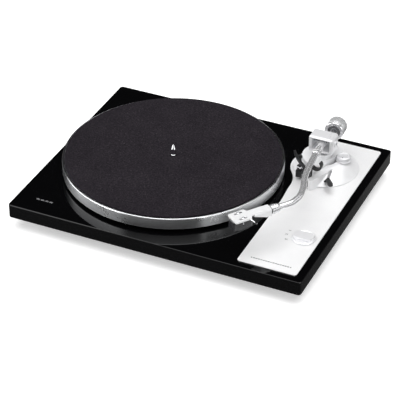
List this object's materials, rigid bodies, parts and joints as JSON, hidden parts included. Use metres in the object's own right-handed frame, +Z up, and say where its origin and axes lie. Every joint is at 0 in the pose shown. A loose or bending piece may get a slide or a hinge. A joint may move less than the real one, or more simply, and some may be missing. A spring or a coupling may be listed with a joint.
{
  "type": "turntable record player",
  "caption": "Record player on a slab plinth: round platter with felt mat, S-shaped tonearm on gimbal bearings, counterweight, silver control plate with speed knob.",
  "frame": {"origin": "on the floor under the middle of the bounding box, which takes in the phono jacks behind the plinth", "axes": "+X along the plinth's width towards the tonearm's side, -Y towards the front edge, +Z up"},
  "size_m": [0.42, 0.354, 0.0954],
  "materials": {
    "gloss_black": "piano gloss lacquer on a fibreboard slab",
    "steel_sheet": "powder coated",
    "satin_black": "satin moulded",
    "rubber": "matt",
    "silver_plate": "fine satin",
    "brass": "plated",
    "steel": "machined",
    "board": "solder mask",
    "magnet": "sintered",
    "silver_cast": "satin silver paint on die casting",
    "platter": "turned and polished rim",
    "felt": "charcoal felt",
    "spindle": "polished",
    "chrome": "polished and plated",
    "smoke": "dark smoked",
    "steel_weight": "satin plated"
  },
  "bodies": {
    "deck": {"plinth": "gloss_black", "bottom_cover": "steel_sheet", "foot_front_left": "satin_black", "foot_pad_front_left": "rubber", "foot_front_right": "satin_black", "foot_pad_front_right": "rubber", "foot_rear_left": "satin_black", "foot_pad_rear_left": "rubber", "foot_rear_right": "satin_black", "foot_pad_rear_right": "rubber", "control_plate": "silver_plate", "speed_switch": "satin_black", "terminal_panel": "satin_black", "phono_jack_left": "brass", "phono_jack_right": "brass", "ground_post": "brass", "usb_socket": "steel", "power_inlet": "satin_black", "hinge_socket_left": "satin_black", "hinge_socket_right": "satin_black", "main_board": "board", "motor_plate": "steel", "motor_board": "board", "stator_core": "magnet", "bearing_sleeve": "brass", "arm_base": "silver_cast", "arm_pillar": "silver_cast", "pillar_nut": "steel", "lifter_guide": "satin_black", "arm_rest": "satin_black", "rest_pin": "steel"},
    "platter": {"platter": "platter", "platter_mat": "felt", "platter_spindle": "spindle", "rotor_magnet": "magnet"},
    "gimbal": {"bearing_block": "silver_cast", "swing_shaft": "steel", "pivot_screw_left": "steel", "pivot_screw_right": "steel"},
    "tonearm": {"pivot_sleeve": "chrome", "arm_tube": "chrome", "counterweight_stub": "steel", "shell_gasket": "rubber", "headshell": "silver_cast", "finger_lift": "chrome", "cartridge_body": "smoke", "cartridge_screw_left": "steel", "cartridge_screw_right": "steel", "stylus_holder": "smoke"},
    "collar": {"locking_collar": "chrome"},
    "dial": {"force_dial": "satin_black"},
    "counterweight": {"counterweight": "steel_weight"},
    "cue": {"cue_lever": "satin_black", "cue_shaft": "steel"},
    "lifter": {"arm_lifter": "satin_black"},
    "clip": {"rest_clip": "satin_black"},
    "skate_knob": {"anti_skate_knob": "silver_cast"},
    "speed_knob": {"speed_knob": "silver_cast"},
    "slider": {"output_switch": "satin_black"},
    "ground_nut": {"ground_nut": "steel"}
  },
  "joints": [
    {"name": "platter_spin", "type": "hinge", "parent": "deck", "child": "platter", "pos_m": [-0.0466, -0.0057, 0.05], "axis": [0, 0, 1], "continuous": true},
    {"name": "arm_swing", "type": "hinge", "parent": "deck", "child": "gimbal", "pos_m": [0.1394, 0.079, 0.082], "axis": [0, 0, 1], "range_deg": [-43, 0.8]},
    {"name": "arm_tilt", "type": "hinge", "parent": "gimbal", "child": "tonearm", "pos_m": [0.1394, 0.079, 0.082], "axis": [1, 0, 0], "range_deg": [-12, 1.3]},
    {"name": "collar_turn", "type": "hinge", "parent": "tonearm", "child": "collar", "pos_m": [0.13668, -0.10229, 0.082], "axis": [0.5764, 0.8171, 0], "range_deg": [-60, 0]},
    {"name": "counterweight_travel", "type": "slide", "parent": "tonearm", "child": "dial", "axis": [-0.0523, 0.9986, 0], "range_m": [-0.003, 0.003]},
    {"name": "counterweight_turn", "type": "hinge", "parent": "dial", "child": "counterweight", "pos_m": [0.14399, 0.07924, 0.082], "axis": [-0.0523, 0.9986, 0], "range_deg": [-540, 540]},
    {"name": "cue_lever_turn", "type": "hinge", "parent": "deck", "child": "cue", "pos_m": [0.16, 0.04436, 0.046], "axis": [-1, 0, 0], "range_deg": [0, 60]},
    {"name": "lifter_travel", "type": "slide", "parent": "deck", "child": "lifter", "axis": [0, 0, 1], "range_m": [-0.0016, 0]},
    {"name": "rest_clip_turn", "type": "hinge", "parent": "deck", "child": "clip", "pos_m": [0.13787, 0.0325, 0.07354], "axis": [0, -1, 0], "range_deg": [0, 62]},
    {"name": "anti_skate_turn", "type": "hinge", "parent": "deck", "child": "skate_knob", "pos_m": [0.1668, 0.0848, 0.058], "axis": [0, 0, 1], "range_deg": [-135, 135]},
    {"name": "speed_knob_turn", "type": "hinge", "parent": "deck", "child": "speed_knob", "pos_m": [0.178, -0.087, 0.044], "axis": [0, 0, 1], "range_deg": [-24, 20]},
    {"name": "output_switch_slide", "type": "slide", "parent": "deck", "child": "slider", "axis": [1, 0, 0], "range_m": [0, 0.004]},
    {"name": "ground_nut_turn", "type": "hinge", "parent": "deck", "child": "ground_nut", "pos_m": [-0.017, 0.166, 0.0268], "axis": [0, 1, 0], "range_deg": [-360, 360]}
  ],
  "couplings": [
    {"joint": "counterweight_turn", "follows": "counterweight_travel", "rad_per_m": 3141.5},
    {"joint": "cue_lever_turn", "follows": "lifter_travel", "rad_per_m": -654.4}
  ]
}
